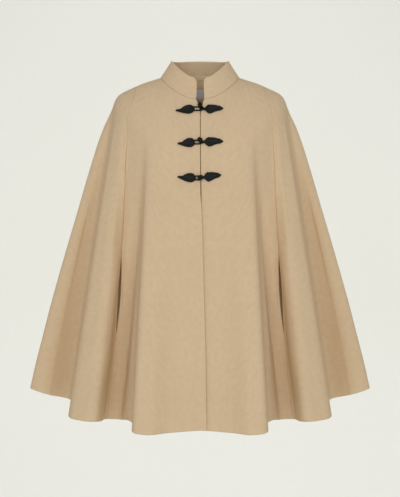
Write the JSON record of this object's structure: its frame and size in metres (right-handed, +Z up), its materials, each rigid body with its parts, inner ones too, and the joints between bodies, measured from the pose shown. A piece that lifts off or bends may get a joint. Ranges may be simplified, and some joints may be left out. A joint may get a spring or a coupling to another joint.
{
  "type": "cape",
  "caption": "Short wool cape in its worn shape, with a stand collar, an open front closed by corded frog fastenings, and arm slits in the front seams.",
  "frame": {"origin": "middle of the neck opening, level with the points where the neck seam crosses the tops of the shoulders", "axes": "+Z up; -Y towards the front, where the fastenings are; +X towards the wearer's left"},
  "size_m": [0.727, 0.4199, 0.7636],
  "materials": {
    "wool": "matte",
    "cord": "satin",
    "label": "matte"
  },
  "bodies": {
    "root": {"front_left": "wool", "front_right": "wool", "side_left": "wool", "side_right": "wool", "back": "wool", "collar": "wool", "neck_label": "label", "frog_1_loop_wing": "cord", "frog_1_loop": "cord", "frog_1_ball": "cord", "frog_1_knot_cord": "cord", "frog_1_knot_wing": "cord", "frog_2_loop_wing": "cord", "frog_2_loop": "cord", "frog_2_ball": "cord", "frog_2_knot_cord": "cord", "frog_2_knot_wing": "cord", "frog_3_loop_wing": "cord", "frog_3_loop": "cord", "frog_3_ball": "cord", "frog_3_knot_cord": "cord", "frog_3_knot_wing": "cord"}
  },
  "joints": []
}
